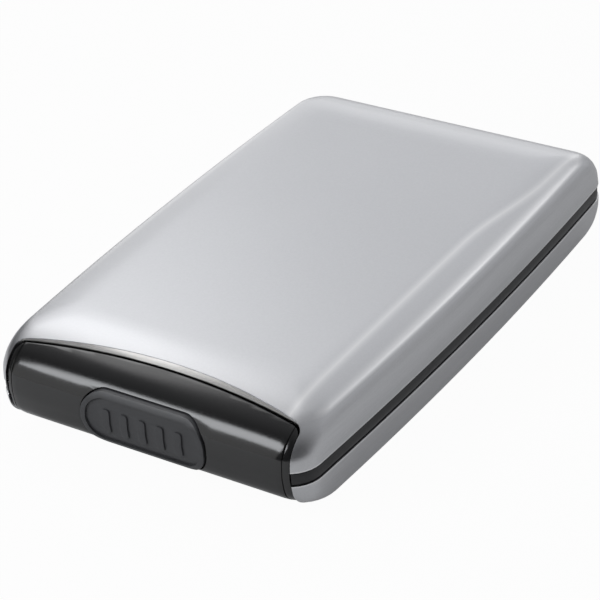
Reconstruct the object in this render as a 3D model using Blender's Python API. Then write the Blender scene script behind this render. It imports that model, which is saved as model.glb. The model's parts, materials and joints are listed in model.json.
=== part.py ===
# Pop up card holder: two drawn aluminium shells on a black frame, closed at the front by a
# moulded end cap with a push button. The lid turns on a hinge at the rear and fans out the
# card pockets. X is the width, Y the length with the button at -Y, Z is up, in metres.

import math

import bmesh
import bpy
from mathutils import Matrix, Vector

COLLECTION = "pop_up_card_holder"

# Case, whose length, width and height follow from what it holds, further down
BAND_HEIGHT = 0.0027          # the dark line between the two shells
BAND_SET_BACK = 0.00025
CORNER_RADIUS = 0.0055
LEAST_RADIUS = 0.0012
SIDE_BOW = 0.0018             # the case is this much narrower at each side of its ends
SIDE_ROLL = 0.0019            # width of the rolled edge along a side
FRONT_ROLL = 0.0090
REAR_ROLL = 0.0070
SHOULDER = 0.0060             # width of the slightly crowned strip inside the rolled edge

# Walls and clearances
SHELL_WALL = 0.0009
FRAME_WALL = 0.0008
LINER_WALL = 0.0008
CAP_WALL = 0.0014
FIT_GAP = 0.0003
RUNNING_GAP = 0.00006
OVERRUN = 0.004               # how far a cutter runs past what it cuts

# End cap
CAP_SIDE = 0.0045              # width of the shells left beside the end cap
CAP_DEPTH = 0.0079
CAP_ARCH_RISE = 0.0011         # how much further back the arched top edge reaches in the middle
CAP_ARCH_FALL = 0.0032        # and how far it falls back to the front at its ends
CAP_CORNER = 0.0045
CAP_SET_BACK = 0.00035
CAP_BOSS_RADIUS = 0.0020
CAP_BOSS_FROM_SIDE = 0.0092
CAP_BOSS_BELOW_MIDDLE = 0.0030

# Button
BUTTON_WIDTH = 0.026
BUTTON_HEIGHT = 0.0104
BUTTON_END_FLAT = 0.0004      # half the straight part of each end of the pill
BUTTON_ABOVE_MIDDLE = 0.0003
BUTTON_CLEARANCE = 0.00028
BUTTON_RIM = 0.0010
BUTTON_RECESS = 0.0004
BUTTON_DEPTH = 0.0032         # from the front of the case to the front of the flange
BUTTON_TRAVEL = 0.0013
FLANGE_WING = 0.0014          # how far the flange reaches past each end of the button
FLANGE_STEP = 0.0018          # how much lower it is than the button, above and below
FLANGE_THICKNESS = 0.0008
STEM_WIDTH = 0.0050
STEM_HEIGHT = 0.0020
GRIP_BARS = 5
GRIP_BAR_WIDTH = 0.0016
GRIP_BAR_MARGIN = 0.0028
GRIP_BAR_PITCH = 0.0038
GRIP_BAR_SET_BACK = 0.0001

# Button springs
BUTTON_SPRING_FROM_END = 0.0040
BUTTON_SPRING_BELOW_MIDDLE = 0.0010
BUTTON_SPRING_RADIUS = 0.0013
BUTTON_SPRING_WIRE = 0.00045
BUTTON_SPRING_TURNS = 6

# Front wall of the frame and what it carries
BULKHEAD_BEHIND_CAP = 0.0037
BULKHEAD_THICKNESS = 0.0010
BULKHEAD_ABOVE_MIDDLE = 0.0008
LATCH_BLOCK_DEPTH = 0.0013
LATCH_BLOCK_HEIGHT = 0.0042
LATCH_WIDTH = 0.0080
LATCH_THICKNESS = 0.0004
LATCH_FOOT_HEIGHT = 0.0015
LATCH_BELOW_SEAT = 0.0015
LATCH_NOSE = 0.0014
LATCH_NOSE_THICKNESS = 0.0005
CATCH_WIDTH = 0.0110
CATCH_THICKNESS = 0.0005
CATCH_SEAT_HEIGHT = 0.0016    # how far the seat hangs below the liner's ceiling
CATCH_FOOT_BELOW = 0.0018     # this and the window's edges are measured from the latch's top
CATCH_FLANGE = 0.0055
CATCH_WINDOW_WIDTH = 0.0088
CATCH_WINDOW_BELOW = 0.0010
CATCH_WINDOW_ABOVE = 0.0004

# Hinge of the lid
HINGE_ABOVE_MIDDLE = 0.0015
HINGE_PIN_RADIUS = 0.0007
KNUCKLE_RADIUS = 0.0016
KNUCKLE_CLEARANCE = 0.0004
KNUCKLE_GAP = 0.0005
CENTRE_KNUCKLE_WIDTH = 0.0060
LID_SPRING_SPACE = 0.0100
LID_KNUCKLE_WIDTH = 0.0050
SIDE_KNUCKLE_WIDTH = 0.0060
HINGE_SHELF_DEPTH = 0.0032
HINGE_SHELF_THICKNESS = 0.0020
LID_BLOCK_DEPTH = 0.0018
LID_SPRING_WIRE = 0.00036
LID_SPRING_TURNS = 6.375      # the last three eighths bring its free leg to the lid
LID_SPRING_LEG = 0.0028

# Card pockets
POCKETS = 5
POCKET_BEHIND_BULKHEAD = 0.0048
POCKET_LENGTH = 0.0812
POCKET_WIDTH = 0.0560
POCKET_ROOM_BELOW = 0.00095   # from the frame's floor to the first pocket
NOTE_ROOM = 0.0051            # from the last pocket to the liner's ceiling
POCKET_PITCH = 0.00185
POCKET_HEIGHT = 0.00155
POCKET_FLOOR = 0.0004
POCKET_RAIL = 0.0008
POCKET_LIP = 0.0010
POCKET_LIP_THICKNESS = 0.0003
POCKET_CORNER = 0.0030
EAR_WIDTH = 0.0020
EAR_RADIUS = 0.0013
EAR_PITCH = 0.0032
EAR_ROOT = 0.0007
POCKET_PIN_BEHIND = 0.0030
POCKET_PIN_RISE = 0.00425     # above the underside of the first pocket
POCKET_PIN_RADIUS = 0.0006
POCKET_PIN_SIDE = 0.0037      # from the end of the pin to the side of the case
EAR_ROOM = 0.0008
LUG_WIDTH = 0.0020
LUG_DEPTH = 0.0034
LUG_RISE = 0.0020

# Soft parts and small parts
GUSSET_THICKNESS = 0.0010
GUSSET_ROOM = 0.0013
GUSSET_END_GAP = 0.0020
PAD_THICKNESS = 0.0004
PAD_SIDE = 0.0040             # how far a pad stays inside the pockets' sides and ends
PAD_END = 0.0036
PAD_CORNER = 0.0030
SCREW_RADIUS = 0.0006
SCREW_HEAD_RADIUS = 0.0012
SCREW_HEAD_THICKNESS = 0.0005
LATCH_SCREW_APART = 0.0044
LATCH_SCREW_RISE = 0.0026
LATCH_SCREW_LENGTH = 0.0012
CATCH_SCREW_FROM_SIDE = 0.0025
CATCH_SCREW_LENGTH = 0.0007
CAP_SCREW_LENGTH = 0.0052

# Numbers of points
CORNER_STEPS = 6
SIDE_STEPS = 7
END_STEPS = 2
ROUND_STEPS = 20
ARCH_STEPS = 16
COIL_STEPS = 8

# The rounded section from the middle of the case to its flat top or bottom, as shares of the
# roll's width, of the shoulder's width and of half the case's height.
SECTION_SHARES = (
    (0.00, 0.00, 0.000),
    (0.04, 0.00, 0.337),
    (0.13, 0.00, 0.505),
    (0.27, 0.00, 0.642),
    (0.45, 0.00, 0.747),
    (0.68, 0.00, 0.826),
    (1.00, 0.00, 0.884),
    (1.00, 0.24, 0.926),
    (1.00, 0.57, 0.963),
    (1.00, 0.95, 0.990),
    (1.00, 1.35, 1.000),
)
RADIUS_LOSS_SHARE = 0.3       # how much tighter a corner is where the roll ends

# The case closes round the pockets and what lies between them and its walls
FRAME_OFFSET = SHELL_WALL + FIT_GAP
SIDE_ROOM = FIT_GAP + GUSSET_THICKNESS + GUSSET_ROOM + SIDE_ROLL + FRAME_WALL + FRAME_OFFSET
CASE_WIDTH = POCKET_WIDTH + 2 * SIDE_ROOM
STACK_HEIGHT = (POCKETS - 1) * POCKET_PITCH + POCKET_HEIGHT
FRAME_FLOOR = FRAME_OFFSET + FRAME_WALL
POCKET_BOTTOM = FRAME_FLOOR + POCKET_ROOM_BELOW
LINER_CEILING = POCKET_BOTTOM + STACK_HEIGHT + NOTE_ROOM
CASE_HEIGHT = LINER_CEILING + LINER_WALL + FRAME_OFFSET
BULKHEAD_FROM_FRONT = CAP_DEPTH + BULKHEAD_BEHIND_CAP
POCKET_FRONT = BULKHEAD_FROM_FRONT + BULKHEAD_THICKNESS + POCKET_BEHIND_BULKHEAD
HINGE_FROM_REAR = FRAME_OFFSET + KNUCKLE_RADIUS
CASE_LENGTH = (POCKET_FRONT + POCKET_LENGTH + POCKET_PIN_BEHIND + EAR_RADIUS + EAR_ROOM
               + HINGE_SHELF_DEPTH + FIT_GAP + HINGE_FROM_REAR)

# Places worked out from the sizes
MIDDLE = CASE_HEIGHT / 2
FRONT = -CASE_LENGTH / 2
REAR = CASE_LENGTH / 2
CAP_BACK = FRONT + CAP_DEPTH
CAP_ARCH_Y = CAP_BACK + CAP_ARCH_RISE
BULKHEAD_Y = FRONT + BULKHEAD_FROM_FRONT
HINGE_Y = REAR - HINGE_FROM_REAR
HINGE_Z = MIDDLE + HINGE_ABOVE_MIDDLE
BUTTON_Z = MIDDLE + BUTTON_ABOVE_MIDDLE
FLANGE_Y = FRONT + BUTTON_DEPTH
FLANGE_BACK = FLANGE_Y + FLANGE_THICKNESS
LATCH_BLOCK_Y = BULKHEAD_Y - LATCH_BLOCK_DEPTH
LATCH_Y = LATCH_BLOCK_Y - FIT_GAP - LATCH_THICKNESS
CATCH_Y = CAP_ARCH_Y + FIT_GAP
HOOK_Y = CATCH_Y + 2 * CATCH_THICKNESS + FIT_GAP
POCKET_Y = FRONT + POCKET_FRONT
POCKET_REAR = POCKET_Y + POCKET_LENGTH
PIN_Y = POCKET_REAR + POCKET_PIN_BEHIND
CAP_WIDTH = CASE_WIDTH - 2 * CAP_SIDE
CAP_BOSS_APART = CAP_WIDTH - 2 * CAP_BOSS_FROM_SIDE
BUTTON_CORNER = BUTTON_HEIGHT / 2 - BUTTON_END_FLAT
BUTTON_SPRING_APART = BUTTON_WIDTH - 2 * BUTTON_SPRING_FROM_END
FLANGE_WIDTH = BUTTON_WIDTH + 2 * FLANGE_WING
FLANGE_HEIGHT = BUTTON_HEIGHT - 2 * FLANGE_STEP
GRIP_BAR_HEIGHT = BUTTON_HEIGHT - 2 * GRIP_BAR_MARGIN
BULKHEAD_HEIGHT = MIDDLE + BULKHEAD_ABOVE_MIDDLE
LATCH_BLOCK_TOP = FRAME_FLOOR + LATCH_BLOCK_HEIGHT
LATCH_FOOT = FRAME_FLOOR + LATCH_FOOT_HEIGHT
LATCH_SCREW_HEIGHT = FRAME_FLOOR + LATCH_SCREW_RISE
CATCH_SEAT = LINER_CEILING - CATCH_SEAT_HEIGHT
LATCH_TOP = CATCH_SEAT - LATCH_BELOW_SEAT
CATCH_FOOT = LATCH_TOP - CATCH_FOOT_BELOW
CATCH_SCREW_APART = CATCH_WIDTH - 2 * CATCH_SCREW_FROM_SIDE
CATCH_WINDOW_LOW = LATCH_TOP - CATCH_WINDOW_BELOW
CATCH_WINDOW_HIGH = LATCH_TOP + CATCH_WINDOW_ABOVE
HINGE_SHELF_TOP = HINGE_Z - KNUCKLE_RADIUS - KNUCKLE_GAP
FIRST_EAR = POCKET_WIDTH / 2 - (POCKETS - 1) * EAR_PITCH
POCKET_PIN_HEIGHT = POCKET_BOTTOM + POCKET_PIN_RISE
POCKET_PIN_LENGTH = CASE_WIDTH - 2 * POCKET_PIN_SIDE
LUG_TOP = POCKET_PIN_HEIGHT + LUG_RISE
PAD_WIDTH = POCKET_WIDTH - 2 * PAD_SIDE
PAD_LENGTH = POCKET_LENGTH - 2 * PAD_END
SPRING_START = CENTRE_KNUCKLE_WIDTH / 2 + KNUCKLE_GAP
LID_KNUCKLE_START = SPRING_START + LID_SPRING_SPACE
SIDE_KNUCKLE_START = LID_KNUCKLE_START + LID_KNUCKLE_WIDTH + KNUCKLE_GAP
BARREL_END = SIDE_KNUCKLE_START + SIDE_KNUCKLE_WIDTH
HINGE_PIN_LENGTH = 2 * BARREL_END


def clear_scene():
    for obj in list(bpy.data.objects):
        bpy.data.objects.remove(obj, do_unlink=True)


def new_collection(name):
    collection = bpy.data.collections.new(name)
    bpy.context.scene.collection.children.link(collection)
    return collection


def material(name, colour, metallic, roughness):
    finish = bpy.data.materials.new(name)
    finish.use_nodes = True
    shader = finish.node_tree.nodes["Principled BSDF"]
    shader.inputs["Base Color"].default_value = (*colour, 1.0)
    shader.inputs["Metallic"].default_value = metallic
    shader.inputs["Roughness"].default_value = roughness
    finish.diffuse_color = (*colour, 1.0)
    return finish


clear_scene()
parts = new_collection(COLLECTION)
cutters = new_collection("cutters")
cutters.hide_render = True

ALUMINIUM = material("satin_aluminium", (0.66, 0.67, 0.69), 1.0, 0.32)
BLACK_GLOSS = material("black_gloss", (0.012, 0.012, 0.014), 0.0, 0.12)
BLACK_SATIN = material("black_satin", (0.03, 0.03, 0.032), 0.0, 0.4)
BUTTON_GREY = material("button_grey", (0.09, 0.09, 0.095), 0.0, 0.42)
STEEL = material("spring_steel", (0.55, 0.55, 0.56), 1.0, 0.3)
SMOKE = material("pocket_smoke", (0.05, 0.05, 0.055), 0.0, 0.35)
CLOTH = material("gusset_cloth", (0.03, 0.03, 0.03), 0.0, 0.9)
FELT = material("felt", (0.05, 0.05, 0.055), 0.0, 0.95)


def add_object(name, mesh, finish, smooth_angle=35):
    """Put a finished mesh in the parts, or among the cutters when it has no finish."""
    obj = bpy.data.objects.new(name, mesh)
    if finish is None:
        cutters.objects.link(obj)
        obj.hide_render = True
        obj.display_type = "WIRE"
        return obj
    parts.objects.link(obj)
    mesh.materials.append(finish)
    mesh.shade_smooth()
    mesh.set_sharp_from_angle(angle=math.radians(smooth_angle))
    return obj


def mesh_from(bm, name):
    mesh = bpy.data.meshes.new(name)
    bm.to_mesh(mesh)
    bm.free()
    return mesh


def boolean(obj, other, operation):
    step = obj.modifiers.new(operation.title(), "BOOLEAN")
    step.operation = operation
    step.object = other
    step.solver = "EXACT"
    return obj


def cut(obj, *others):
    for other in others:
        boolean(obj, other, "DIFFERENCE")


def join(obj, *others):
    for other in others:
        boolean(obj, other, "UNION")


def keep_inside(obj, other):
    boolean(obj, other, "INTERSECT")


def add_box(bm, low, high):
    """Add a box between two corners."""
    size = [b - a for a, b in zip(low, high)]
    middle = [(a + b) / 2 for a, b in zip(low, high)]
    cube = bmesh.ops.create_cube(bm, size=1.0)["verts"]
    bmesh.ops.scale(bm, vec=size, verts=cube)
    bmesh.ops.translate(bm, vec=middle, verts=cube)
    return cube


def box(name, low, high, finish=None):
    bm = bmesh.new()
    add_box(bm, low, high)
    return add_object(name, mesh_from(bm, name), finish)


def boxes(name, corners, finish=None):
    bm = bmesh.new()
    for low, high in corners:
        add_box(bm, low, high)
    return add_object(name, mesh_from(bm, name), finish)


def rods(name, radius, ends, axis, finish=None, steps=ROUND_STEPS):
    """Cylinders of one radius along X, Y or Z, each given by the middles of its two ends."""
    turn = {"X": Matrix.Rotation(math.pi / 2, 4, "Y"), "Y": Matrix.Rotation(math.pi / 2, 4, "X"),
            "Z": Matrix.Identity(4)}[axis]
    bm = bmesh.new()
    for start, end in ends:
        start, end = Vector(start), Vector(end)
        place = Matrix.Translation((start + end) / 2) @ turn
        bmesh.ops.create_cone(bm, cap_ends=True, segments=steps, radius1=radius, radius2=radius,
                              depth=(end - start).length, matrix=place)
    return add_object(name, mesh_from(bm, name), finish)


def prism(name, outline, axis, low, high, finish=None):
    """A flat outline pushed along an axis. Points are (y, z), (x, z) or (x, y)."""
    place = {"X": lambda u, v: (low, u, v), "Y": lambda u, v: (u, low, v),
             "Z": lambda u, v: (u, v, low)}[axis]
    reach = {"X": (high - low, 0, 0), "Y": (0, high - low, 0), "Z": (0, 0, high - low)}[axis]
    bm = bmesh.new()
    face = bm.faces.new([bm.verts.new(place(u, v)) for u, v in outline])
    pushed = bmesh.ops.extrude_face_region(bm, geom=[face])["geom"]
    moved = [item for item in pushed if isinstance(item, bmesh.types.BMVert)]
    bmesh.ops.translate(bm, vec=reach, verts=moved)
    bmesh.ops.recalc_face_normals(bm, faces=bm.faces)
    return add_object(name, mesh_from(bm, name), finish)


def rounded_outline(low, high, radius, steps=CORNER_STEPS):
    """A rectangle with round corners, from its lowest to its highest corner."""
    points = []
    corners = ((high[0] - radius, high[1] - radius), (low[0] + radius, high[1] - radius),
               (low[0] + radius, low[1] + radius), (high[0] - radius, low[1] + radius))
    for quarter, (u, v) in enumerate(corners):
        for step in range(steps + 1):
            angle = math.pi / 2 * (quarter + step / steps)
            points.append((u + radius * math.cos(angle), v + radius * math.sin(angle)))
    return points


def section(offset, start):
    """Roll share, shoulder share and rise above the middle, from a starting rise to the flat."""
    half = MIDDLE - offset
    rises = [share * half for _, _, share in SECTION_SHARES]
    first = next(i for i, rise in enumerate(rises) if rise > start)
    below, above = rises[first - 1], rises[first]
    part = (start - below) / (above - below)
    low, high = SECTION_SHARES[first - 1], SECTION_SHARES[first]
    levels = [(low[0] + part * (high[0] - low[0]), low[1] + part * (high[1] - low[1]), start)]
    for (roll, shoulder, _), rise in zip(SECTION_SHARES[first:], rises[first:]):
        levels.append((roll, shoulder, rise))
    return levels


def plan_ring(roll, shoulder, offset, z):
    """The case's outline at one level, drawn in by an offset, anticlockwise from above."""
    half_x = CASE_WIDTH / 2 - offset - SIDE_ROLL * roll - SHOULDER * shoulder
    front = FRONT + offset + FRONT_ROLL * roll + SHOULDER * shoulder
    rear = REAR - offset - REAR_ROLL * roll - SHOULDER * shoulder
    radius = max(CORNER_RADIUS * (1 - RADIUS_LOSS_SHARE * roll) - offset, LEAST_RADIUS)
    centres = ((half_x - radius, rear - radius), (-half_x + radius, rear - radius),
               (-half_x + radius, front + radius), (half_x - radius, front + radius))
    spans = (END_STEPS, SIDE_STEPS, END_STEPS, SIDE_STEPS)
    points = []
    for quarter, (x, y) in enumerate(centres):
        for step in range(CORNER_STEPS + 1):
            angle = math.pi / 2 * (quarter + step / CORNER_STEPS)
            points.append((x + radius * math.cos(angle), y + radius * math.sin(angle)))
        end = points[-1]
        corner, angle = centres[(quarter + 1) % 4], math.pi / 2 * (quarter + 1)
        start = (corner[0] + radius * math.cos(angle), corner[1] + radius * math.sin(angle))
        for step in range(1, spans[quarter]):
            part = step / spans[quarter]
            points.append(tuple(a + part * (b - a) for a, b in zip(end, start)))
    ring = []
    for x, y in points:
        bow = SIDE_BOW * (y / REAR) ** 2
        ring.append((x - math.copysign(min(bow, abs(x)), x), y, z))
    return ring


def loft(name, rings, finish=None):
    """Skin a row of rings and close its first and last."""
    bm = bmesh.new()
    rows = [[bm.verts.new(point) for point in ring] for ring in rings]
    for lower, upper in zip(rows, rows[1:]):
        for i, j in zip(range(len(lower)), [*range(1, len(lower)), 0]):
            bm.faces.new((lower[i], lower[j], upper[j], upper[i]))
    bm.faces.new(reversed(rows[0]))
    bm.faces.new(rows[-1])
    return add_object(name, mesh_from(bm, name), finish)


def upper_rings(offset, start):
    return [plan_ring(roll, shoulder, offset, MIDDLE + rise)
            for roll, shoulder, rise in section(offset, start)]


def turned_over(rings):
    return [[(x, y, CASE_HEIGHT - z) for x, y, z in ring] for ring in reversed(rings)]


def tray(name, offset, wall, start, finish, over=False):
    """An open shell of even wall: its inner face down to the edge, then its outer face up."""
    rings = upper_rings(offset + wall, start)[::-1] + upper_rings(offset, start)
    return loft(name, turned_over(rings) if over else rings, finish)


def core(name, offset):
    """The whole case drawn in by an offset, as a solid."""
    rings = upper_rings(offset, 0.0)
    return loft(name, turned_over(rings)[:-1] + rings)


def cap_space(name, margin):
    """The upright block that the end cap takes out of the case, grown by a margin.

    Its rear edge is straight up to the band and arched in plan above it."""
    half = CAP_WIDTH / 2 + margin
    outline = rounded_outline((-half, FRONT - OVERRUN - CAP_CORNER), (half, CAP_BACK + margin),
                              CAP_CORNER)
    block = prism(name, outline, "Z", -OVERRUN, MIDDLE + BAND_HEIGHT / 2 - FIT_GAP / 2)
    arch = [(half, FRONT - OVERRUN)]
    for step in range(ARCH_STEPS + 1):
        share = 1 - 2 * step / ARCH_STEPS
        arch.append((half * share, CAP_ARCH_Y + margin - CAP_ARCH_FALL * share ** 2))
    arch.append((-half, FRONT - OVERRUN))
    join(block, prism(name + "_arch", arch, "Z", MIDDLE + BAND_HEIGHT / 4,
                      CASE_HEIGHT + OVERRUN))
    return block


def both_sides(start, end):
    """A span along X and its mirror image."""
    return ((-end, -start), (start, end))


def make_shells():
    notch = cap_space("shell_notch", 0.0)
    upper = tray("upper_shell", 0.0, SHELL_WALL, BAND_HEIGHT / 2, ALUMINIUM)
    lower = tray("lower_shell", 0.0, SHELL_WALL, BAND_HEIGHT / 2, ALUMINIUM, over=True)
    for shell in (upper, lower):
        cut(shell, notch)


def hinge_axis(x):
    return (x, HINGE_Y, HINGE_Z)


def knuckle_outline(foot_z, foot_back):
    """A round knuckle with a foot up or down to a level, from its front to behind the pin."""
    way = math.copysign(1, foot_z - HINGE_Z)
    sweep = 2 * math.pi - math.acos(-foot_back / KNUCKLE_RADIUS)
    points = []
    for step in range(ROUND_STEPS + 1):
        angle = sweep * step / ROUND_STEPS
        points.append((HINGE_Y - KNUCKLE_RADIUS * math.cos(angle),
                       HINGE_Z - way * KNUCKLE_RADIUS * math.sin(angle)))
    return [*points, (HINGE_Y + foot_back, foot_z), (HINGE_Y - KNUCKLE_RADIUS, foot_z)]


def make_frame():
    frame = tray("centre_frame", FRAME_OFFSET, FRAME_WALL, 0.0, BLACK_SATIN, over=True)
    half_band = BAND_HEIGHT / 2 - FIT_GAP
    inner = FRAME_OFFSET + FRAME_WALL / 2
    band = loft("frame_band", [plan_ring(0.0, 0.0, inner, MIDDLE + half_band),
                               plan_ring(0.0, 0.0, inner, MIDDLE - half_band),
                               plan_ring(0.0, 0.0, BAND_SET_BACK, MIDDLE - half_band),
                               plan_ring(0.0, 0.0, BAND_SET_BACK, MIDDLE + half_band)])
    # An open ring: the two end faces go and the first and last rings are bridged.
    ring = bmesh.new()
    ring.from_mesh(band.data)
    ends = [face for face in ring.faces if len(face.verts) > 4]
    bmesh.ops.delete(ring, geom=ends, context="FACES")
    bmesh.ops.bridge_loops(ring, edges=[edge for edge in ring.edges if edge.is_boundary])
    bmesh.ops.recalc_face_normals(ring, faces=ring.faces)
    ring.to_mesh(band.data)
    ring.free()

    shelf_front = HINGE_Y - FIT_GAP - HINGE_SHELF_DEPTH
    shelf_low = HINGE_SHELF_TOP - HINGE_SHELF_THICKNESS
    shelf_end = BARREL_END + FIT_GAP
    floor = FRAME_FLOOR - FRAME_WALL / 2
    wide = CASE_WIDTH / 2
    lug_in = POCKET_PIN_LENGTH / 2 + FIT_GAP - LUG_WIDTH
    lugs = [((a, PIN_Y - LUG_DEPTH / 2, floor), (b, PIN_Y + LUG_DEPTH / 2, LUG_TOP))
            for a, b in both_sides(lug_in, wide)]
    ribs = boxes("frame_ribs", [
        ((-wide, BULKHEAD_Y, floor), (wide, BULKHEAD_Y + BULKHEAD_THICKNESS, BULKHEAD_HEIGHT)),
        ((-shelf_end, shelf_front, shelf_low), (shelf_end, REAR, HINGE_SHELF_TOP)),
        *lugs])
    latch_block = box("latch_block", (-LATCH_WIDTH / 2, LATCH_BLOCK_Y, floor),
                      (LATCH_WIDTH / 2, BULKHEAD_Y + BULKHEAD_THICKNESS / 2, LATCH_BLOCK_TOP))
    for piece in (ribs, latch_block):
        keep_inside(piece, core(piece.name + "_limit", FRAME_OFFSET + FIT_GAP))

    frame_spans = ((-CENTRE_KNUCKLE_WIDTH / 2, CENTRE_KNUCKLE_WIDTH / 2),
                   *both_sides(SIDE_KNUCKLE_START, BARREL_END))
    knuckles = [prism("frame_knuckle", knuckle_outline(shelf_low + HINGE_SHELF_THICKNESS / 2,
                                                       -HINGE_PIN_RADIUS), "X", a, b)
                for a, b in frame_spans]
    hinge_room = box("hinge_room", (-wide - OVERRUN, HINGE_Y - FIT_GAP, MIDDLE - BAND_HEIGHT / 2),
                     (wide + OVERRUN, REAR + OVERRUN, CASE_HEIGHT))
    join(frame, band)
    cut(frame, cap_space("frame_notch", 0.0))
    join(frame, ribs, latch_block)
    cut(frame, hinge_room)
    join(frame, *knuckles)

    pin_end = POCKET_PIN_LENGTH / 2 + FIT_GAP
    cut(frame,
        rods("frame_hinge_bore", HINGE_PIN_RADIUS + RUNNING_GAP,
             [(hinge_axis(-BARREL_END - OVERRUN), hinge_axis(BARREL_END + OVERRUN))], "X"),
        rods("pocket_pin_bores", POCKET_PIN_RADIUS + RUNNING_GAP,
             [((a, PIN_Y, POCKET_PIN_HEIGHT), (b, PIN_Y, POCKET_PIN_HEIGHT))
              for a, b in both_sides(lug_in - OVERRUN, pin_end)], "X"),
        rods("latch_screw_bores", SCREW_RADIUS + RUNNING_GAP,
             [((x, LATCH_BLOCK_Y - OVERRUN, LATCH_SCREW_HEIGHT),
               (x, LATCH_BLOCK_Y + LATCH_SCREW_LENGTH, LATCH_SCREW_HEIGHT))
              for x in (-LATCH_SCREW_APART / 2, LATCH_SCREW_APART / 2)], "Y"),
        rods("cap_screw_bores", SCREW_RADIUS + RUNNING_GAP,
             [((x, BULKHEAD_Y - OVERRUN / 2, MIDDLE - CAP_BOSS_BELOW_MIDDLE),
               (x, BULKHEAD_Y + OVERRUN / 2, MIDDLE - CAP_BOSS_BELOW_MIDDLE))
              for x in (-CAP_BOSS_APART / 2, CAP_BOSS_APART / 2)], "Y"))


def button_outline(margin):
    half_x = BUTTON_WIDTH / 2 + margin
    half_z = BUTTON_HEIGHT / 2 + margin
    return rounded_outline((-half_x, BUTTON_Z - half_z), (half_x, BUTTON_Z + half_z),
                           BUTTON_CORNER + margin)


def make_end_cap():
    cap = core("end_cap_solid", CAP_SET_BACK)
    cutters.objects.unlink(cap)
    parts.objects.link(cap)
    cap.name = "end_cap"
    cap.hide_render = False
    cap.display_type = "TEXTURED"
    cap.data.materials.append(BLACK_GLOSS)
    cap.data.shade_smooth()
    cap.data.set_sharp_from_angle(angle=math.radians(35))
    keep_inside(cap, cap_space("cap_limit", -FIT_GAP))

    hollow = core("cap_hollow", CAP_SET_BACK + CAP_WALL)
    half = CAP_WIDTH / 2 - FIT_GAP - CAP_WALL
    keep_inside(hollow, box("cap_hollow_limit", (-half, FRONT - OVERRUN, -OVERRUN),
                            (half, CAP_BACK + OVERRUN, CASE_HEIGHT + OVERRUN)))
    window = prism("cap_window", button_outline(BUTTON_CLEARANCE), "Y", FRONT - OVERRUN,
                   FLANGE_BACK + BUTTON_TRAVEL + FIT_GAP)
    cut(cap, hollow, window)

    boss_z = MIDDLE - CAP_BOSS_BELOW_MIDDLE
    boss_end = BULKHEAD_Y - FIT_GAP
    places = (-CAP_BOSS_APART / 2, CAP_BOSS_APART / 2)
    bosses = rods("cap_bosses", CAP_BOSS_RADIUS,
                  [((x, FRONT + CAP_SET_BACK + CAP_WALL / 2, boss_z), (x, boss_end, boss_z))
                   for x in places], "Y")
    keep_inside(bosses, core("boss_limit", CAP_SET_BACK + CAP_WALL / 2))
    join(cap, bosses)
    cut(cap, rods("cap_boss_bores", SCREW_RADIUS + RUNNING_GAP,
                  [((x, boss_end - CAP_SCREW_LENGTH, boss_z), (x, boss_end + OVERRUN, boss_z))
                   for x in places], "Y"))


def make_button():
    outline = button_outline(0.0)
    button = prism("release_button", outline, "Y", FRONT - OVERRUN, FLANGE_Y + FIT_GAP,
                   BUTTON_GREY)
    keep_inside(button, core("button_limit", 0.0))
    recess = prism("button_recess", button_outline(-BUTTON_RIM), "Y", FRONT - OVERRUN,
                   FLANGE_Y - BUTTON_RIM)
    cut(recess, core("button_face", BUTTON_RECESS))
    cut(button, recess)

    bars = bmesh.new()
    half = GRIP_BAR_WIDTH / 2
    for index in range(GRIP_BARS):
        x = (index - (GRIP_BARS - 1) / 2) * GRIP_BAR_PITCH
        corners = rounded_outline((x - half, BUTTON_Z - GRIP_BAR_HEIGHT / 2),
                                  (x + half, BUTTON_Z + GRIP_BAR_HEIGHT / 2),
                                  half * (1 - RADIUS_LOSS_SHARE))
        face = bars.faces.new([bars.verts.new((u, FRONT - OVERRUN, v)) for u, v in corners])
        pushed = bmesh.ops.extrude_face_region(bars, geom=[face])["geom"]
        moved = [item for item in pushed if isinstance(item, bmesh.types.BMVert)]
        bmesh.ops.translate(bars, vec=(0, OVERRUN + BUTTON_DEPTH / 2, 0), verts=moved)
    bmesh.ops.recalc_face_normals(bars, faces=bars.faces)
    grips = add_object("grip_bars", mesh_from(bars, "grip_bars"), None)
    keep_inside(grips, core("grip_limit", GRIP_BAR_SET_BACK))

    flange = box("button_flange",
                 (-FLANGE_WIDTH / 2, FLANGE_Y, BUTTON_Z - FLANGE_HEIGHT / 2),
                 (FLANGE_WIDTH / 2, FLANGE_BACK, BUTTON_Z + FLANGE_HEIGHT / 2))
    stem = box("button_stem", (-STEM_WIDTH / 2, FLANGE_Y + FLANGE_THICKNESS / 2,
                               BUTTON_Z - STEM_HEIGHT / 2),
               (STEM_WIDTH / 2, LATCH_Y - FIT_GAP, BUTTON_Z + STEM_HEIGHT / 2))
    join(button, grips, flange, stem)
    return [button]


def wire(name, points, radius, finish):
    """A round wire through the points."""
    curve = bpy.data.curves.new(name, "CURVE")
    curve.dimensions = "3D"
    curve.bevel_depth = radius
    curve.bevel_resolution = 1
    curve.use_fill_caps = True
    spline = curve.splines.new("POLY")
    spline.points.add(len(points) - 1)
    for point, place in zip(spline.points, points):
        point.co = (*place, 1.0)
    spline.use_smooth = True
    curve.materials.append(finish)
    obj = bpy.data.objects.new(name, curve)
    parts.objects.link(obj)
    return obj


def coil(turns, radius, length, steps=COIL_STEPS):
    """Points of a helix along +X from the origin, starting at +Y."""
    count = round(turns * steps)
    return [(length * i / count, radius * math.cos(2 * math.pi * i / steps),
             radius * math.sin(2 * math.pi * i / steps)) for i in range(count + 1)]


def print_coil_gap(name, turns, length, wire_radius):
    gap = length / turns - 2 * wire_radius
    print(f"{name}: least gap between turns {gap * 1000:.3f} mm")


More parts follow.
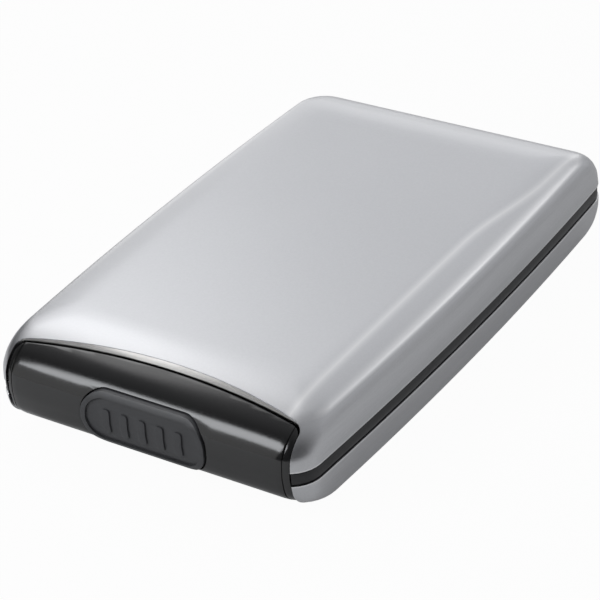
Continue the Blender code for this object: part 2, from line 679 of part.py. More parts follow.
def make_button_springs():
    start = FLANGE_BACK + FIT_GAP + BUTTON_SPRING_WIRE / 2
    end = BULKHEAD_Y - FIT_GAP - BUTTON_SPRING_WIRE / 2
    z = MIDDLE - BUTTON_SPRING_BELOW_MIDDLE
    helix = coil(BUTTON_SPRING_TURNS, BUTTON_SPRING_RADIUS, end - start)
    for side, name in ((-1, "button_spring_left"), (1, "button_spring_right")):
        x = side * BUTTON_SPRING_APART / 2
        wire(name, [(x + side * u, start + along, z + v) for along, u, v in helix],
             BUTTON_SPRING_WIRE / 2, STEEL)
    print_coil_gap("button springs", BUTTON_SPRING_TURNS, end - start, BUTTON_SPRING_WIRE / 2)


def screw_mesh(name, length):
    """A turned screw along +Z: its seat at the origin, its head below and its shank above."""
    profile = ((0, -SCREW_HEAD_THICKNESS), (SCREW_HEAD_RADIUS, -SCREW_HEAD_THICKNESS),
               (SCREW_HEAD_RADIUS, 0), (SCREW_RADIUS, 0), (SCREW_RADIUS, length), (0, length))
    bm = bmesh.new()
    verts = [bm.verts.new((out, 0, along)) for out, along in profile]
    edges = [bm.edges.new(pair) for pair in zip(verts, verts[1:])]
    bmesh.ops.spin(bm, geom=verts + edges, cent=(0, 0, 0), axis=(0, 0, 1),
                   angle=2 * math.pi, steps=ROUND_STEPS, use_merge=True)
    bmesh.ops.remove_doubles(bm, verts=bm.verts, dist=RUNNING_GAP / 2)
    bmesh.ops.recalc_face_normals(bm, faces=bm.faces)
    return mesh_from(bm, name)


def screw_pair(name, apart, y, z, way, length):
    """Two screws side by side that share one mesh, seated at y and z and pointing a way."""
    mesh = screw_mesh(name, length)
    mesh.materials.append(STEEL)
    mesh.shade_smooth()
    mesh.set_sharp_from_angle(angle=math.radians(35))
    pair = []
    for side, end in ((-1, "left"), (1, "right")):
        screw = bpy.data.objects.new(f"{name}_{end}", mesh)
        screw.location = (side * apart / 2, y, z)
        screw.rotation_euler = Vector((0, 0, 1)).rotation_difference(Vector(way)).to_euler()
        parts.objects.link(screw)
        pair.append(screw)
    return pair


def make_latch():
    nose = HOOK_Y - LATCH_NOSE
    back = LATCH_Y + LATCH_THICKNESS
    step_low = BUTTON_Z + STEM_HEIGHT / 2 + LATCH_THICKNESS
    step_high = step_low + LATCH_THICKNESS
    outline = ((LATCH_Y, LATCH_FOOT), (back, LATCH_FOOT), (back, step_low),
               (HOOK_Y + LATCH_THICKNESS, step_low), (HOOK_Y + LATCH_THICKNESS, LATCH_TOP),
               (HOOK_Y, LATCH_TOP), (nose, LATCH_TOP - LATCH_NOSE_THICKNESS / 2),
               (nose, LATCH_TOP - LATCH_NOSE_THICKNESS), (HOOK_Y, LATCH_TOP - LATCH_NOSE_THICKNESS),
               (HOOK_Y, step_high), (LATCH_Y, step_high))
    leaf = prism("latch_spring", outline, "X", -LATCH_WIDTH / 2, LATCH_WIDTH / 2, STEEL)
    places = [(x, LATCH_Y, LATCH_SCREW_HEIGHT)
              for x in (-LATCH_SCREW_APART / 2, LATCH_SCREW_APART / 2)]
    cut(leaf, rods("latch_holes", SCREW_RADIUS + RUNNING_GAP,
                   [((x, y - OVERRUN, z), (x, y + OVERRUN, z)) for x, y, z in places], "Y"))
    screw_pair("latch_screw", LATCH_SCREW_APART, LATCH_Y - FIT_GAP / 2, LATCH_SCREW_HEIGHT,
               (0, 1, 0), LATCH_THICKNESS + FIT_GAP + LATCH_SCREW_LENGTH / 2)
    screw_pair("cap_screw", CAP_BOSS_APART, BULKHEAD_Y + BULKHEAD_THICKNESS + FIT_GAP / 2,
               MIDDLE - CAP_BOSS_BELOW_MIDDLE, (0, -1, 0), CAP_SCREW_LENGTH)


def make_catch():
    top = CATCH_SEAT - FIT_GAP / 2
    back = CATCH_Y + CATCH_THICKNESS
    end = CATCH_Y + CATCH_FLANGE
    outline = ((CATCH_Y, CATCH_FOOT), (back, CATCH_FOOT), (back, top - CATCH_THICKNESS),
               (end, top - CATCH_THICKNESS), (end, top), (CATCH_Y, top))
    catch = prism("catch_plate", outline, "X", -CATCH_WIDTH / 2, CATCH_WIDTH / 2, STEEL)
    half = CATCH_WINDOW_WIDTH / 2
    places = [(x, end - 2 * SCREW_HEAD_RADIUS, top)
              for x in (-CATCH_SCREW_APART / 2, CATCH_SCREW_APART / 2)]
    cut(catch,
        box("catch_window", (-half, CATCH_Y - OVERRUN, CATCH_WINDOW_LOW),
            (half, back + CATCH_THICKNESS, CATCH_WINDOW_HIGH)),
        rods("catch_holes", SCREW_RADIUS + RUNNING_GAP,
             [((x, y, z - OVERRUN), (x, y, z + OVERRUN)) for x, y, z in places], "Z"))
    pair = screw_pair("catch_screw", CATCH_SCREW_APART, end - 2 * SCREW_HEAD_RADIUS,
                      top - CATCH_THICKNESS - FIT_GAP / 2, (0, 0, 1),
                      CATCH_THICKNESS + FIT_GAP / 2 + CATCH_SCREW_LENGTH)
    return [catch, *pair]


def make_liner():
    start = BAND_HEIGHT / 2 + FIT_GAP
    liner = tray("lid_liner", FRAME_OFFSET, LINER_WALL, start, BLACK_SATIN)
    lid_spans = both_sides(LID_KNUCKLE_START, LID_KNUCKLE_START + LID_KNUCKLE_WIDTH)
    knuckles = []
    for a, b in lid_spans:
        knuckle = prism("lid_knuckle", knuckle_outline(CASE_HEIGHT,
                                                       LID_BLOCK_DEPTH - KNUCKLE_RADIUS),
                        "X", a, b)
        keep_inside(knuckle, core("lid_knuckle_limit", FRAME_OFFSET + FIT_GAP))
        knuckles.append(knuckle)
    reach = BARREL_END + KNUCKLE_GAP
    cut(liner,
        cap_space("liner_notch", FIT_GAP),
        rods("barrel_room", KNUCKLE_RADIUS + KNUCKLE_CLEARANCE,
             [(hinge_axis(-reach), hinge_axis(reach))], "X"))
    half = CATCH_WIDTH / 2 + FIT_GAP
    seat = box("catch_seat", (-half, CATCH_Y, CATCH_SEAT),
               (half, CATCH_Y + CATCH_FLANGE + FIT_GAP, CASE_HEIGHT))
    keep_inside(seat, core("catch_seat_limit", FRAME_OFFSET + FIT_GAP))
    join(liner, seat, *knuckles)
    screw_y = CATCH_Y + CATCH_FLANGE - 2 * SCREW_HEAD_RADIUS
    cut(liner,
        rods("lid_hinge_bore", HINGE_PIN_RADIUS + RUNNING_GAP,
             [(hinge_axis(-reach), hinge_axis(reach))], "X"),
        rods("liner_screw_bores", SCREW_RADIUS + RUNNING_GAP,
             [((x, screw_y, CATCH_SEAT - OVERRUN), (x, screw_y, CATCH_SEAT + CATCH_SCREW_LENGTH))
              for x in (-CATCH_SCREW_APART / 2, CATCH_SCREW_APART / 2)], "Z"))
    return [liner]


def make_hinge():
    half = HINGE_PIN_LENGTH / 2
    rods("hinge_pin", HINGE_PIN_RADIUS, [(hinge_axis(-half), hinge_axis(half))], "X", STEEL)
    wire_radius = LID_SPRING_WIRE / 2
    radius = HINGE_PIN_RADIUS + FIT_GAP + wire_radius
    length = LID_SPRING_SPACE - 2 * (FIT_GAP + wire_radius)
    helix = coil(LID_SPRING_TURNS, radius, length)
    for side, name in ((-1, "lid_spring_left"), (1, "lid_spring_right")):
        points = []
        for along, u, v in helix:
            x = SPRING_START + FIT_GAP + wire_radius + along
            points.append((side * x, HINGE_Y + v, HINGE_Z - u))
        first, last = points[0], points[-1]
        shelf_leg = (first[0], first[1] - LID_SPRING_LEG,
                     HINGE_SHELF_TOP + FIT_GAP / 2 + wire_radius)
        slant = LID_SPRING_LEG / math.sqrt(2)
        lid_leg = (last[0], last[1] - slant, last[2] + slant)
        wire(name, [shelf_leg, *points, lid_leg], wire_radius, STEEL)
    print_coil_gap("lid springs", LID_SPRING_TURNS, length, wire_radius)


def make_pocket(index):
    """One card pocket: a floor with two lipped rails, and two ears on the pocket pin."""
    name = f"card_pocket_{index + 1}"
    z = POCKET_BOTTOM + index * POCKET_PITCH
    half = POCKET_WIDTH / 2
    inner = half - POCKET_RAIL
    lip = inner - POCKET_LIP
    lip_z = z + POCKET_HEIGHT - POCKET_LIP_THICKNESS
    side = ((half, z), (half, z + POCKET_HEIGHT), (lip, z + POCKET_HEIGHT), (lip, lip_z),
            (inner, lip_z), (inner, z + POCKET_FLOOR))
    outline = [*side, *((-u, v) for u, v in reversed(side))]
    pocket = prism(name, outline, "Y", POCKET_Y, POCKET_REAR, SMOKE)
    keep_inside(pocket, prism(name + "_corners",
                              rounded_outline((-half - FIT_GAP, POCKET_Y),
                                              (half + FIT_GAP, POCKET_REAR + POCKET_CORNER),
                                              POCKET_CORNER),
                              "Z", -OVERRUN, CASE_HEIGHT + OVERRUN))

    root_y = POCKET_REAR - EAR_ROOT
    arm_y = POCKET_REAR + EAR_ROOT
    top = z + POCKET_FLOOR
    bow = Vector((PIN_Y - arm_y, POCKET_PIN_HEIGHT - (z + POCKET_FLOOR / 2)))
    start_angle = math.atan2(bow[1], bow[0])
    ring = []
    for step in range(ROUND_STEPS // 2 + 1):
        angle = start_angle - math.pi / 2 + math.pi * step / (ROUND_STEPS // 2)
        ring.append((PIN_Y + EAR_RADIUS * math.cos(angle),
                     POCKET_PIN_HEIGHT + EAR_RADIUS * math.sin(angle)))
    ear = [(root_y, z), (arm_y, z), *ring, (arm_y, top), (root_y, top)]
    x = FIRST_EAR + index * EAR_PITCH - EAR_WIDTH
    for a, b in both_sides(x, x + EAR_WIDTH):
        join(pocket, prism(f"{name}_ear", ear, "X", a, b))
    cut(pocket, rods(name + "_bore", POCKET_PIN_RADIUS + RUNNING_GAP,
                     [((-half, PIN_Y, POCKET_PIN_HEIGHT), (half, PIN_Y, POCKET_PIN_HEIGHT))],
                     "X"))
    return pocket


def make_soft_parts():
    low = POCKET_BOTTOM + POCKET_FLOOR
    high = POCKET_BOTTOM + STACK_HEIGHT
    start = POCKET_WIDTH / 2 + FIT_GAP
    spans = both_sides(start, start + GUSSET_THICKNESS)
    for (a, b), name in zip(spans, ("gusset_left", "gusset_right")):
        box(name, (a, POCKET_Y + GUSSET_END_GAP, low), (b, POCKET_REAR - GUSSET_END_GAP, high),
            CLOTH)
    middle = (POCKET_Y + POCKET_REAR) / 2
    outline = rounded_outline((-PAD_WIDTH / 2, middle - PAD_LENGTH / 2),
                              (PAD_WIDTH / 2, middle + PAD_LENGTH / 2), PAD_CORNER)
    floor = FRAME_FLOOR + FIT_GAP * 0.8
    prism("floor_pad", outline, "Z", floor, floor + PAD_THICKNESS, FELT)
    ceiling = LINER_CEILING - FIT_GAP * 0.8
    return [prism("lid_pad", outline, "Z", ceiling - PAD_THICKNESS, ceiling, FELT)]


def turn_with(pieces, name, place):
    """Hang pieces on an empty that lies on their joint's axis."""
    axis = bpy.data.objects.new(name, None)
    axis.location = place
    parts.objects.link(axis)
    for piece in pieces:
        piece.parent = axis
        piece.matrix_parent_inverse = Matrix.Translation(place).inverted()


make_shells()
make_frame()
make_end_cap()
button = make_button()
make_button_springs()
make_latch()
catch = make_catch()
liner = make_liner()
make_hinge()
pocket_nodes = [make_pocket(index) for index in range(POCKETS)]
rods("pocket_pin", POCKET_PIN_RADIUS,
     [((-POCKET_PIN_LENGTH / 2, PIN_Y, POCKET_PIN_HEIGHT),
       (POCKET_PIN_LENGTH / 2, PIN_Y, POCKET_PIN_HEIGHT))], "X", STEEL)
lid_pad = make_soft_parts()

turn_with([bpy.data.objects["upper_shell"], *liner, *catch, *lid_pad], "lid_axis",
          hinge_axis(0.0))
turn_with(button, "button_axis", (0.0, FRONT, BUTTON_Z))
for index, pocket in enumerate(pocket_nodes):
    turn_with([pocket], f"pocket_axis_{index + 1}", (0.0, PIN_Y, POCKET_PIN_HEIGHT))
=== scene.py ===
import json
import math

import bpy
from mathutils import Matrix, Vector


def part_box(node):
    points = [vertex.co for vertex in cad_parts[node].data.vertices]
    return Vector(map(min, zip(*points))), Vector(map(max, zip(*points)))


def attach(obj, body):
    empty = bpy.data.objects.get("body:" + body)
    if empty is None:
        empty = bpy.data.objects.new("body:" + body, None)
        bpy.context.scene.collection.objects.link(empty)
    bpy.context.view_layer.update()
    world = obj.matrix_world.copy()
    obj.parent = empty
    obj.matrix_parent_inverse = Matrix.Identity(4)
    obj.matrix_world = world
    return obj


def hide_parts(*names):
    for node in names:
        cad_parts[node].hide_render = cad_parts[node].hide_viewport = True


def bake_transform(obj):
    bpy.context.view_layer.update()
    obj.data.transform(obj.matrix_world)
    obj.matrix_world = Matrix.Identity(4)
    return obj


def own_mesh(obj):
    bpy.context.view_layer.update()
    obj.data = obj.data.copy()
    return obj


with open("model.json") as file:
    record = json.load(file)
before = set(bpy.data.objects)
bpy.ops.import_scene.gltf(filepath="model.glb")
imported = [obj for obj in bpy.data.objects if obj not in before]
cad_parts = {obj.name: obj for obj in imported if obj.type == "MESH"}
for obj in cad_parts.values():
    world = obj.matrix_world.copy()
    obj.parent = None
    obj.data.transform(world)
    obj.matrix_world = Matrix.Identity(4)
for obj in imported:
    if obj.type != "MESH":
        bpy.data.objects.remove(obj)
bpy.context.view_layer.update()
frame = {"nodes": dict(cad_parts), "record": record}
print("frame loaded:", len(frame["nodes"]), "nodes")

# the case: two shells, one form turned over for the other. Levels are the share of half the
# height, then how far the side, front and rear are drawn in there.
caseForm = {
    "width": 0.069,
    "length": 0.110,
    "height": 0.019,
    "bandHeight": 0.0027,
    "cornerRadius": 0.0055,
    "leastRadius": 0.0012,
    "sideRoll": 0.0019,
    "sideBow": 0.0018,
    "wall": 0.0009,
    "levels": [
        (0.000, 0.00000, 0.00000, 0.00000),
        (0.337, 0.00008, 0.00036, 0.00028),
        (0.505, 0.00025, 0.00117, 0.00091),
        (0.642, 0.00051, 0.00243, 0.00189),
        (0.747, 0.00086, 0.00405, 0.00315),
        (0.826, 0.00129, 0.00612, 0.00476),
        (0.884, 0.00190, 0.00825, 0.00675),
        (0.926, 0.00334, 0.01015, 0.00835),
        (0.963, 0.00532, 0.01235, 0.01040),
        (0.990, 0.00760, 0.01470, 0.01270),
        (1.000, 0.01000, 0.01710, 0.01510),
    ],
    "stepsBetween": 3,
    "cornerSteps": 8,
    "sideCuts": 12,
    "edgeRound": 0.00012,
}
middle = caseForm["height"] / 2
front = -caseForm["length"] / 2

# how far cutters run: below, above and in front of the case
overrun = {"low": -0.01, "high": 0.03, "near": 0.01, "far": 0.02}

endCap = {
    "width": 0.0600,
    "depth": 0.0079,
    "archRise": 0.0011,
    "archFall": 0.0032,
    "corner": 0.0045,
    "archCorner": 0.0014,
    "setBack": 0.00035,
    "wall": 0.0014,
    "gap": 0.0003,
    "edgeRound": 0.00020,
    "lineFromEnd": 0.00145,      # the fine upright line near each end
    "lineWidth": 0.00022,
    "lineDepth": 0.00022,
    "lineAbove": 0.002,
}
capBack = front + endCap["depth"]

# the bosses in the cap that take its screws
screwBoss = {"x": 0.0208, "z": middle - 0.0030, "radius": 0.0020, "bore": 0.00066,
             "start": front + endCap["setBack"] + endCap["wall"] / 2, "end": -0.0437,
             "boreDepth": 0.0052}

pushButton = {
    "width": 0.026,
    "height": 0.0104,
    "corner": 0.0048,
    "above": 0.0003,
    "clearance": 0.00028,
    "rim": 0.0010,
    "recess": 0.0004,
    "flangeFront": 0.0032,
    "flangeWidth": 0.0288,
    "flangeHeight": 0.0068,
    "flangeThickness": 0.0008,
    "overlap": 0.0003,           # how far joined parts run into each other
    "ahead": 0.004,              # the blanks start this far in front of the case
    "faceAhead": 0.006,
    "faceBehind": 0.002,
    "stemWidth": 0.0050,
    "stemHeight": 0.0020,
    "stemEnd": -0.0457,
    "travel": 0.0013,
    "edgeRound": 0.00022,
    "bars": 5,
    "barWidth": 0.0016,
    "barHeight": 0.0048,
    "barCorner": 0.00056,
    "barPitch": 0.0038,
    "barSetBack": 0.0001,
}
buttonZ = middle + pushButton["above"]


# modelling helpers
def deselectAll():
    if bpy.context.object and bpy.context.object.mode == "EDIT":
        bpy.ops.object.mode_set(mode="OBJECT")
    bpy.ops.object.select_all(action="DESELECT")


def pick(obj):
    deselectAll()
    obj.select_set(True)
    bpy.context.view_layer.objects.active = obj
    return obj


def editStart(obj, selectMode="VERT"):
    pick(obj)
    bpy.ops.object.mode_set(mode="EDIT")
    bpy.ops.mesh.select_mode(type=selectMode)


def editEnd():
    bpy.ops.object.mode_set(mode="OBJECT")


def selectWhere(obj, kind, test):
    # kind is vertices, edges or polygons; test gets the places of the element's corners
    bpy.ops.object.mode_set(mode="OBJECT")
    mesh = obj.data
    for group in (mesh.vertices, mesh.edges, mesh.polygons):
        for element in group:
            element.select = False
    for element in getattr(mesh, kind):
        ends = [element.index] if kind == "vertices" else element.vertices
        element.select = test([mesh.vertices[i].co for i in ends])
    bpy.ops.object.mode_set(mode="EDIT")


def applyModifier(obj, kind, **settings):
    pick(obj)
    modifier = obj.modifiers.new(kind.title(), kind)
    for key, value in settings.items():
        setattr(modifier, key, value)
    bpy.ops.object.modifier_apply(modifier=modifier.name)


def carve(obj, tool, operation="DIFFERENCE"):
    # cuts, joins or keeps what the tool covers, and uses the tool up
    applyModifier(obj, "BOOLEAN", object=tool, operation=operation, solver="EXACT")
    bpy.data.objects.remove(tool, do_unlink=True)


def applyPlace(obj):
    pick(obj)
    bpy.ops.object.transform_apply(location=True, rotation=True, scale=True)


def newCube(name, low, high):
    deselectAll()
    size = [b - a for a, b in zip(low, high)]
    place = [(a + b) / 2 for a, b in zip(low, high)]
    bpy.ops.mesh.primitive_cube_add(size=1, location=place)
    obj = bpy.context.object
    obj.name = obj.data.name = name
    obj.scale = size
    applyPlace(obj)
    return obj


def bevelAlong(obj, axis, radius, segments, test=lambda ends: True):
    # rounds the edges that run along one axis
    editStart(obj, "EDGE")
    others = [i for i in range(3) if i != axis]
    selectWhere(obj, "edges", lambda ends: all(
        abs(ends[0][i] - ends[1][i]) < 1e-6 for i in others) and test(ends))
    bpy.ops.mesh.bevel(offset=radius, segments=segments, affect="EDGES")
    editEnd()
    return obj


def smoothEdges(obj, angle=35):
    pick(obj)
    bpy.ops.object.shade_smooth_by_angle(angle=math.radians(angle))


def softenEdges(obj, width, segments=2, angle=40):
    applyModifier(obj, "BEVEL", width=width, segments=segments, limit_method="ANGLE",
                  angle_limit=math.radians(angle), use_clamp_overlap=True)
    smoothEdges(obj)


def mergeClose(obj, distance=1e-6, flatten=True):
    editStart(obj)
    bpy.ops.mesh.select_all(action="SELECT")
    bpy.ops.mesh.remove_doubles(threshold=distance)
    if flatten:
        bpy.ops.mesh.dissolve_limited(angle_limit=math.radians(0.4))
    bpy.ops.mesh.normals_make_consistent(inside=False)
    editEnd()


def twin(obj, name):
    # a second copy with its own mesh
    other = bpy.data.objects.new(name, obj.data.copy())
    other.data.name = name
    bpy.context.collection.objects.link(other)
    return other


def rod(name, radius, place, start, end):
    # a round bar along Y at (x, z)
    deselectAll()
    bpy.ops.mesh.primitive_cylinder_add(
        vertices=32, radius=radius, depth=end - start, rotation=(math.pi / 2, 0, 0),
        location=(place[0], (start + end) / 2, place[1]))
    bar = bpy.context.object
    bar.name = bar.data.name = name
    applyPlace(bar)
    return bar


# the form of the case
def smoothLevels(first):
    # a smooth curve through the levels, from a starting rise share up
    table = caseForm["levels"]
    levels = []
    for i in range(len(table) - 1):
        around = [table[max(i - 1, 0)], table[i], table[i + 1], table[min(i + 2, len(table) - 1)]]
        for step in range(caseForm["stepsBetween"]):
            t = step / caseForm["stepsBetween"]
            levels.append(tuple(
                0.5 * (2 * b + (c - a) * t + (2 * a - 5 * b + 4 * c - d) * t * t
                       + (3 * b - a - 3 * c + d) * t ** 3)
                for a, b, c, d in zip(*around)))
    levels.append(table[-1])
    above = next(i for i, level in enumerate(levels) if level[0] > first + 0.01)
    low, high = levels[above - 1], levels[above]
    part = max((first - low[0]) / (high[0] - low[0]), 0)
    return [tuple(a + part * (b - a) for a, b in zip(low, high))] + levels[above:]


def addRing(level, offset):
    share, side, frontIn, rearIn = level
    width = caseForm["width"] - 2 * (side + offset)
    low = front + frontIn + offset
    high = -front - rearIn - offset
    roll = min(side / caseForm["sideRoll"], 1)
    radius = max(caseForm["cornerRadius"] * (1 - 0.3 * roll) - offset, caseForm["leastRadius"])
    place = (0, (low + high) / 2, share * (middle - offset))
    bpy.ops.mesh.primitive_plane_add(size=1, location=place)
    bpy.ops.transform.resize(value=(width, high - low, 1), center_override=place)
    bpy.ops.mesh.bevel(offset=radius, segments=caseForm["cornerSteps"], affect="VERTICES")


def halfCase(name, offset, firstRise):
    # rings bridged into the upper half of the case, with its middle plane at z = 0
    deselectAll()
    bpy.ops.mesh.primitive_plane_add(size=1)
    obj = bpy.context.object
    obj.name = obj.data.name = name
    editStart(obj)
    bpy.ops.mesh.select_all(action="SELECT")
    bpy.ops.mesh.delete(type="VERT")
    for level in smoothLevels(firstRise / (middle - offset)):
        addRing(level, offset)
    bpy.ops.mesh.select_all(action="SELECT")
    bpy.ops.mesh.delete(type="ONLY_FACE")
    bpy.ops.mesh.select_all(action="SELECT")
    bpy.ops.mesh.bridge_edge_loops()
    bpy.ops.mesh.select_mode(type="EDGE")
    selectWhere(obj, "edges", lambda ends: abs(ends[0].z - ends[1].z) < 1e-7
                and (ends[0] - ends[1]).length > 0.02)
    bpy.ops.mesh.subdivide(number_cuts=caseForm["sideCuts"])
    top = max(vert.co.z for vert in obj.data.vertices)
    selectWhere(obj, "edges", lambda ends: min(end.z for end in ends) > top - 1e-6)
    bpy.ops.mesh.edge_face_add()
    bpy.ops.mesh.inset(thickness=0.0008)
    editEnd()
    half = caseForm["length"] / 2
    for vert in obj.data.vertices:      # the sides are slightly bowed
        bow = caseForm["sideBow"] * (vert.co.y / half) ** 2
        vert.co.x -= math.copysign(min(bow, abs(vert.co.x)), vert.co.x)
    editStart(obj)
    bpy.ops.mesh.select_all(action="SELECT")
    bpy.ops.mesh.normals_make_consistent(inside=False)
    editEnd()
    return obj


def wholeCase(name, offset):
    obj = halfCase(name, offset, 0.0)
    applyModifier(obj, "MIRROR", use_axis=(False, False, True), use_mirror_merge=True,
                  merge_threshold=1e-5)
    obj.location.z = middle
    applyPlace(obj)
    mergeClose(obj, flatten=False)
    return obj


def archBlock(name, reach, fall, half, low=middle + caseForm["bandHeight"] / 4):
    # an upright block whose rear edge is an arch in plan, at y = reach in the middle
    block = newCube(name, (-half, front - overrun["far"], low), (half, reach, overrun["high"]))
    bevelAlong(block, 2, endCap["archCorner"], 4, lambda ends: ends[0].y > front)
    editStart(block, "EDGE")
    selectWhere(block, "edges", lambda ends: min(end.y for end in ends) > reach - 1e-6
                and abs(ends[0].x - ends[1].x) > 0.02)
    bpy.ops.mesh.subdivide(number_cuts=31)
    editEnd()
    for vert in block.data.vertices:
        if vert.co.y > front:
            vert.co.y -= fall * (vert.co.x / half) ** 2
    return block


def capBlock(name, margin, part="both"):
    # what the end cap takes out of the case: straight up to the band, arched above it
    half = endCap["width"] / 2 + margin
    upper = archBlock(name, capBack + endCap["archRise"] + margin, endCap["archFall"], half)
    if part == "upper":
        return upper
    top = middle + caseForm["bandHeight"] / 2 - endCap["gap"] / 2
    lower = newCube(name, (-half, front - overrun["far"], overrun["low"]),
                    (half, capBack + margin, top))
    bevelAlong(lower, 2, endCap["corner"], 10, lambda ends: ends[0].y > front)
    if part == "lower":
        bpy.data.objects.remove(upper, do_unlink=True)
        return lower
    carve(lower, upper, "UNION")
    return lower


def pill(name, margin, low, high):
    halfX = pushButton["width"] / 2 + margin
    halfZ = pushButton["height"] / 2 + margin
    block = newCube(name, (-halfX, low, buttonZ - halfZ), (halfX, high, buttonZ + halfZ))
    return bevelAlong(block, 1, pushButton["corner"] + margin, 12)


# finishes
class Link:
    def __init__(self, tree, socket):
        self.tree, self.socket = tree, socket

    def node(self, kind, settings=None, inputs=None, output=0):
        made = self.tree.nodes.new(kind)
        for key, value in (settings or {}).items():
            if key == "stops":
                elements = made.color_ramp.elements
                while len(elements) > 1:
                    elements.remove(elements[-1])
                elements[0].position, elements[0].color = value[0]
                for place, colour in value[1:]:
                    elements.new(place).color = colour
            else:
                setattr(made, key, value)
        for key, value in (inputs or {}).items():
            if isinstance(value, Link):
                self.tree.links.new(value.socket, made.inputs[key])
            else:
                made.inputs[key].default_value = value
        return Link(self.tree, made.outputs[output])

    def sum(self, operation, first, second):
        return self.node("ShaderNodeMath", {"operation": operation}, {0: first, 1: second})

    def __add__(self, other): return self.sum("ADD", self, other)
    def __radd__(self, other): return self.sum("ADD", other, self)
    def __sub__(self, other): return self.sum("SUBTRACT", self, other)
    def __rsub__(self, other): return self.sum("SUBTRACT", other, self)
    def __mul__(self, other): return self.sum("MULTIPLY", self, other)
    def __rmul__(self, other): return self.sum("MULTIPLY", other, self)
    def __truediv__(self, other): return self.sum("DIVIDE", self, other)
    def __rtruediv__(self, other): return self.sum("DIVIDE", other, self)
    def __pow__(self, other): return self.sum("POWER", self, other)
    def __rpow__(self, other): return self.sum("POWER", other, self)

    def axis(self, index):
        return self.node("ShaderNodeSeparateXYZ", None, {0: self}, output=index)

    def size(self):
        return self.node("ShaderNodeMath", {"operation": "ABSOLUTE"}, {0: self})

    def along(self, direction):
        return self.node("ShaderNodeVectorMath", {"operation": "DOT_PRODUCT"},
                         {0: self, 1: direction}, output=1)

    def grain(self, scale, detail=2.0, stretch=(1, 1, 1), roughness=0.5):
        place = self.node("ShaderNodeMapping", None, {"Vector": self, "Scale": stretch})
        return self.node("ShaderNodeTexNoise", None, {
            "Vector": place, "Scale": scale, "Detail": detail, "Roughness": roughness})

    def blend(self, low, high):
        return self.node("ShaderNodeMix", {"data_type": "RGBA"},
                         {"Factor": self, 6: low, 7: high}, output=2)

    def ramp(self, low, high):
        return self.node("ShaderNodeMapRange", {"clamp": True},
                         {"Value": self, "From Min": low, "From Max": high})


class Finish:
    def __init__(self, name, **constants):
        self.material = bpy.data.materials.new(name)
        self.material.use_nodes = True
        tree = self.material.node_tree
        self.shader = tree.nodes["Principled BSDF"]
        for key, value in constants.items():
            self.shader.inputs[key.replace("_", " ")].default_value = value
        self.tree = tree
        start = tree.nodes.new("ShaderNodeTexCoord")
        self.place = Link(tree, start.outputs["Object"])

    def feed(self, socket, value):
        self.tree.links.new(value.socket, self.shader.inputs[socket])

    def bump(self, height, distance, strength=1.0):
        self.feed("Normal", height.node("ShaderNodeBump", None, {
            "Height": height, "Distance": distance, "Strength": strength}))


def colour(red, green, blue):
    return (red, green, blue, 1.0)


rim = {
    "reach": 0.0013,             # width of the polished rim in the middle of the arch
    "fall": 0.0044,
    "slope": 6.0,
    "ends": 0.0294,
    "grooveWidth": 0.00014,
    "grooveDepth": 0.00012,
    "span": 0.004,               # only the outside near the cap, above the middle, is lowered
    "aboveMiddle": 0.003,
    "touching": 0.00005,
}
rimReach = capBack + endCap["archRise"] + rim["reach"]
rimHalf = endCap["width"] / 2


# painted highlight lines in the aluminium's colour: the upper one, at +X only, turns outward
# towards the rear, and the lower one runs where the shoulder meets the side
paintedCreaseLines = {"upperX": 0.0266, "upperWidth": 0.0016, "turnY": (0.010, 0.036), "outward": 0.0026,
          "lowerZ": 0.0084, "lowerWidth": 0.0005}

# where the looks of the aluminium start and end, each over a short distance; corner is where the
# painted lower highlight line starts at the side
aluminiumLook = {"rimEdge": (0.0, 0.0001), "rimRise": (0.001, 0.002), "rimEnd": 0.0004,
                 "bandEdge": (0.00008, 0.00035), "side": (0.0310, 0.0325),
                 "corner": (0.0300, 0.0315)}


